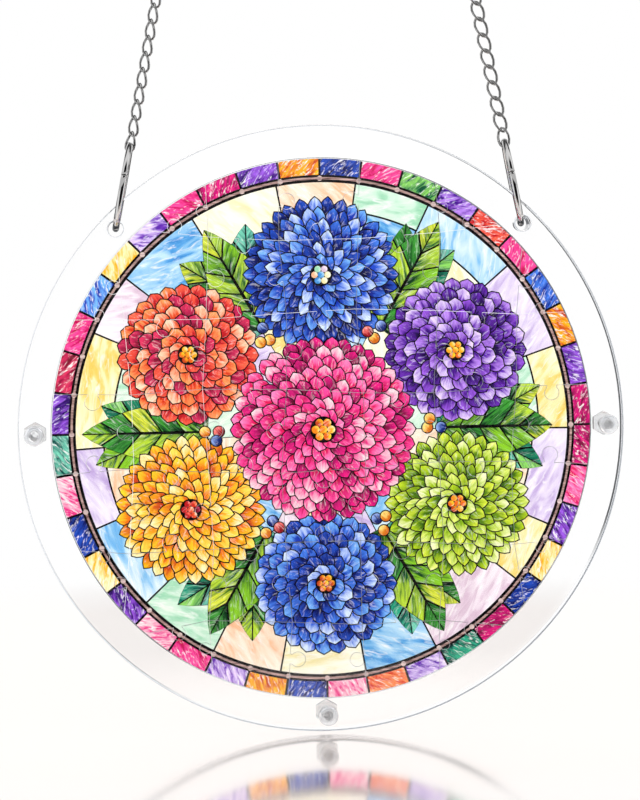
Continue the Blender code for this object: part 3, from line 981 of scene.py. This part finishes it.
def streaked_glass():
    """Printed art glass: a deep colour that pales along its grain, with streaks, white wisps and veins."""
    tree, given, out = new_group("streaked glass", dict.fromkeys(STREAK_LABELS, 1.0),
                                 {"Colour": "Color", "Gloss": "Float"})
    grain = node(tree, "UVMap", uv_map="grain").outputs[0]
    deep = node(tree, "Attribute", attribute_name="deep").outputs
    pale = node(tree, "Attribute", attribute_name="pale").outputs
    seed = deep["Alpha"]
    broad = noise(tree, stretched(tree, grain, seed, given["Streak Length"], given["Streak Width"]), 1.0,
                  roughness=0.5, distortion=0.8)
    away = maths(tree, "MULTIPLY", maths(tree, "SUBTRACT", pale["Alpha"], given["Pale From"]),
                 given["Paling"])
    drift = maths(tree, "MULTIPLY", maths(tree, "SUBTRACT", broad, 0.5), given["Streaks"])
    total = maths(tree, "ADD", away, drift)
    colour = blend(tree, remap(tree, total, -PALING_HALF, PALING_HALF), deep["Color"], pale["Color"])
    colour = blend(tree, remap(tree, total, -0.15, -0.7, 0.0, 0.75), colour, deep["Color"], "MULTIPLY")
    thin = noise(tree, stretched(tree, grain, seed, given["Streak Length"], 0.28), 1.0, detail=2.0)
    vein = maths(tree, "MULTIPLY", remap(tree, thin, 0.52, 0.72), given["Veins"])
    colour = blend(tree, vein, colour, deep["Color"], "MULTIPLY")
    cloud = noise(tree, stretched(tree, grain, maths(tree, "ADD", seed, 0.5), given["Wisp Length"],
                                  given["Wisp Width"]), 1.0, detail=4.0, distortion=1.6)
    wisp = maths(tree, "MULTIPLY", remap(tree, cloud, 0.54, 0.68), given["Wisps"])
    fill(out, {"Colour": blend(tree, wisp, colour, (1.0, 0.98, 0.97, 1.0)),
               "Gloss": remap(tree, cloud, 0.3, 0.7, 0.34, 0.2)})
    return tree


def fine_surface():
    """Handling marks on a hard surface: smudges in its gloss and a very slight unevenness."""
    values = {"Smudge Scale": 60.0, "Least Roughness": 0.0, "Most Roughness": 0.04, "Grain Scale": 900.0}
    tree, given, out = new_group("fine surface", values, {"Roughness": "Float", "Height": "Float"})
    place = node(tree, "TexCoord").outputs["Object"]
    smudge = noise(tree, place, given["Smudge Scale"], detail=4.0, distortion=0.5)
    grains = noise(tree, place, given["Grain Scale"], detail=2.0)
    mixed = maths(tree, "ADD", maths(tree, "MULTIPLY", smudge, 0.75),
                  maths(tree, "MULTIPLY", grains, 0.25))
    gloss = remap(tree, mixed, 0.38, 0.66, given["Least Roughness"], given["Most Roughness"])
    fill(out, {"Roughness": gloss, "Height": grains})
    return tree


def new_material(name, **plain):
    """A Principled material with its plain values set."""
    material = bpy.data.materials.new(name)
    material.use_nodes = True
    shader = material.node_tree.nodes["Principled BSDF"]
    for label, value in plain.items():
        shader.inputs[label.replace("_", " ")].default_value = value
    return material, material.node_tree, shader


def hard_material(name, group, values, bump=0.0, **plain):
    """A material with handling marks in its gloss, and with its plain values set."""
    material, tree, shader = new_material(name, **plain)
    marks = node(tree, "Group", values, node_tree=group).outputs
    fill(shader, {"Roughness": marks["Roughness"]})
    if bump:
        height = node(tree, "Bump", {"Height": marks["Height"], "Strength": bump, "Distance": GRAIN_HEIGHT})
        fill(shader, {"Normal": height.outputs[0]})
    return material


def picture_materials(marks):
    """The finishes of the print, in the order of FINISHES."""
    glass = streaked_glass()
    materials = []
    for finish, numbers in PRINTS.items():
        material, tree, shader = new_material(f"{finish} print", IOR=ACRYLIC_IOR, Specular_IOR_Level=0.2)
        look = node(tree, "Group", dict(zip(STREAK_LABELS, numbers)), node_tree=glass).outputs
        fill(shader, {"Base Color": look["Colour"], "Roughness": look["Gloss"]})
        materials.append(material)
    # The cut edges: pale grey with a faint white painted glow
    return materials + [hard_material("cut edge with painted glow", marks, {"Least Roughness": 0.25, "Most Roughness": 0.5},
                                      Base_Color=(0.8, 0.81, 0.83, 1.0), Emission_Color=grey(1.0),
                                      Emission_Strength=0.04)]


def plate_materials(marks):
    """The plates' clear acrylic, and its polished walls and their rounds, which let light through: their
    grey tints are painted shade, pale on the walls and dark on the rounds, and both have a faint painted
    glow.
    """
    clear = hard_material("clear acrylic", marks, {"Smudge Scale": 45.0, "Most Roughness": 0.02},
                          Base_Color=grey(1.0), IOR=ACRYLIC_IOR, Transmission_Weight=1.0)
    # Painted shade: pale blue-grey walls and dark grey rounds, both with a faint bluish painted glow
    painted_edge_shades = {"polished edge, pale painted shade and glow": (0.85, 0.87, 0.89, 1.0), "rounded edge, dark painted shade and glow": (0.45, 0.47, 0.5, 1.0)}
    edges = [hard_material(name, marks, {"Smudge Scale": 220.0, **HANDLED}, 0.2, Base_Color=tint,
                           IOR=ACRYLIC_IOR, Transmission_Weight=1.0, Emission_Color=(0.9, 0.94, 1.0, 1.0),
                           Emission_Strength=EDGE_GLOW) for name, tint in painted_edge_shades.items()]
    return [clear, *edges]


def fastener_materials(marks):
    """The fasteners' cloudy plastic, and on their steeper sides a darker, less clear copy of it: painted
    shade.
    """
    # The sides' copy is darker and less clear: painted shade
    looks = {"cloudy plastic": ((0.93, 0.935, 0.945, 1.0), 0.8),
             "cloudy side, painted shade": ((0.62, 0.625, 0.635, 1.0), 0.55)}
    return [hard_material(name, marks, {"Smudge Scale": 300.0, **HANDLED}, 0.3, Base_Color=tint,
                          IOR=NYLON_IOR, Transmission_Weight=clearness)
            for name, (tint, clearness) in looks.items()]


def steel_material(marks, name, tint):
    """Polished stainless wire with fine handling marks."""
    values = {"Smudge Scale": 420.0, "Least Roughness": 0.03, "Most Roughness": 0.1, "Grain Scale": 2600.0}
    return hard_material(name, marks, values, 0.2, Base_Color=tint, Metallic=1.0)


# Stage


PHOTO_HEIGHT = 800
FOCAL_PIXELS = 2266.0
SENSOR = 36.0
DISC_PIXELS = 608.0
DISC_RIGHT_OF_MIDDLE = 4.0
DISC_BELOW_MIDDLE = 30.0
CAMERA_AZIMUTH = -4.5
CAMERA_ELEVATION = 3.0
CAMERA_ROLL = -0.9
FLOOR_GAP = 1.5 * MM
FLOOR_RADIUS = 0.32
FLOOR_BACK = 0.12
FLOOR_COLOUR = (1.0, 0.925, 0.885, 1.0)
FLOOR_MIRROR = 0.85
FLOOR_MIRROR_ANGLES = (0.4, 0.62)
FLOOR_FADE = (0.6 * FLOOR_RADIUS, 0.95 * FLOOR_RADIUS)


def add_camera():
    """The photograph's view: a long lens from a little above and to the left."""
    data = bpy.data.cameras.new("camera")
    data.sensor_width = SENSOR
    data.lens = FOCAL_PIXELS * SENSOR / PHOTO_HEIGHT
    data.clip_start = 0.01
    camera = put_in_scene("camera", data)
    pixel = 2 * PLATE_RADIUS / DISC_PIXELS
    azimuth, elevation = radians(CAMERA_AZIMUTH), radians(CAMERA_ELEVATION)
    back = Vector((sin(azimuth) * cos(elevation), -cos(azimuth) * cos(elevation),
                   sin(elevation)))
    level = back.to_track_quat("Z", "Y").to_matrix().to_4x4()
    turn = level @ rotated(radians(CAMERA_ROLL), 4, "Z")
    shift = turn.to_3x3() @ Vector((-DISC_RIGHT_OF_MIDDLE * pixel, DISC_BELOW_MIDDLE * pixel, 0.0))
    place = Vector((0.0, COVER_LOW.y, DISC_CENTRE)) + back * (FOCAL_PIXELS * pixel) + shift
    camera.matrix_world = moved(place) @ turn
    bpy.context.scene.camera = camera


def add_floor():
    """A white table top, close under the disc: glossy at a low angle, and faded out before the horizon."""
    shape = bmesh.new()
    place = moved((0.0, FLOOR_BACK, DISC_CENTRE - PLATE_RADIUS - FLOOR_GAP))
    bmesh.ops.create_circle(shape, cap_ends=True, segments=64, radius=FLOOR_RADIUS, matrix=place)
    floor = mesh_object("floor", shape)
    material, tree, shader = new_material("white gloss", Base_Color=FLOOR_COLOUR, Roughness=0.1)
    facing = node(tree, "LayerWeight", {"Blend": 0.5}).outputs["Facing"]
    mirror = remap(tree, facing, *FLOOR_MIRROR_ANGLES, 0.0, FLOOR_MIRROR)
    away = node(tree, "VectorMath", {0: node(tree, "TexCoord").outputs["Object"], 1: place.translation},
                operation="DISTANCE").outputs["Value"]
    fill(shader, {"Metallic": mirror, "Alpha": remap(tree, away, *FLOOR_FADE, 1.0, 0.0)})
    floor.data.materials.append(material)


# Light round the object by azimuth: 0 is towards the viewer, then on round by its right hand side
REFLECTED_BANDS = [(0.0, 0.01), (0.135, 0.01), (0.155, 1.7), (0.30, 1.6), (0.33, 0.05), (0.67, 0.05),
                   (0.70, 1.4), (0.87, 1.6), (0.89, 0.01)]
# The strip of the bands by the sine of its height, with plain light above and below it
STRIP_MIDDLE = 0.27
STRIP_EDGE = (0.18, 0.23)
PLAIN_LIGHT = 1.05
TOP_EDGE = (0.8, 0.95)
TOP_LIGHT = 1.5
# What is seen through the clear pieces: bright in front and behind, darker at the sides
THROUGH_LIGHT = 1.17
THROUGH_SHADE = (0.3, 0.33, 0.37, 1.0)
THROUGH_EDGE = (0.12, 0.3)
SCATTERED_LIGHT = 2.3


def add_world():
    """A white studio: plain for the camera, with dark flags that show in steel and in the plates' edges."""
    world = bpy.data.worlds.new("studio")
    bpy.context.scene.world = world
    world.use_nodes = True
    tree = world.node_tree
    path = node(tree, "LightPath").outputs
    ray = node(tree, "TexCoord").outputs["Generated"]
    parts = node(tree, "SeparateXYZ", {0: ray}).outputs
    turned_ray = node(tree, "VectorRotate", {"Vector": ray, "Angle": -pi / 2},
                      rotation_type="Z_AXIS").outputs[0]
    azimuth = node(tree, "TexGradient", {"Vector": turned_ray}, gradient_type="RADIAL").outputs[1]
    ramp = node(tree, "ValToRGB", {0: azimuth})
    ramp.color_ramp.elements[1].position = REFLECTED_BANDS[-1][0]
    for place, _ in REFLECTED_BANDS[1:-1]:
        ramp.color_ramp.elements.new(place)
    for element, (_, level) in zip(ramp.color_ramp.elements, REFLECTED_BANDS):
        element.color = grey(level)
    from_strip = maths(tree, "ABSOLUTE", maths(tree, "SUBTRACT", parts[2], STRIP_MIDDLE), 0.0)
    reflected = blend(tree, remap(tree, from_strip, *STRIP_EDGE), grey(PLAIN_LIGHT), ramp.outputs[0])
    reflected = blend(tree, remap(tree, parts[2], *TOP_EDGE), reflected, grey(TOP_LIGHT))
    depth = maths(tree, "ABSOLUTE", parts[1], 0.0)
    refracted = blend(tree, remap(tree, depth, *THROUGH_EDGE), THROUGH_SHADE, grey(THROUGH_LIGHT))
    mirrored = maths(tree, "GREATER_THAN", path["Glossy Depth"], 0.5)
    light = blend(tree, mirrored, refracted, reflected)
    scattered = maths(tree, "GREATER_THAN", path["Diffuse Depth"], 0.5)
    light = blend(tree, scattered, light, grey(SCATTERED_LIGHT))
    light = blend(tree, path["Is Camera Ray"], light, grey(1.0))
    fill(tree.nodes["Background"], {"Color": light})


def main():
    bpy.context.scene.view_settings.view_transform = "Standard"
    marks = fine_surface()
    add_plates(plate_materials(marks))
    add_puzzle(picture_materials(marks))
    plastics = fastener_materials(marks)
    for side in SCREW_ANGLES:
        add_screw(side, plastics)
        add_nut(side, plastics)
    add_rings(steel_material(marks, "ring steel", (0.42, 0.417, 0.415, 1.0)))
    # The chain's steel is the rings' steel made darker: painted shade on its small links
    darker_chain_steel = steel_material(marks, "chain steel, painted darker", (0.3, 0.298, 0.296, 1.0))
    for side in ("left", "right"):
        add_chain(side, darker_chain_steel)
    add_floor()
    add_world()
    add_camera()


main()
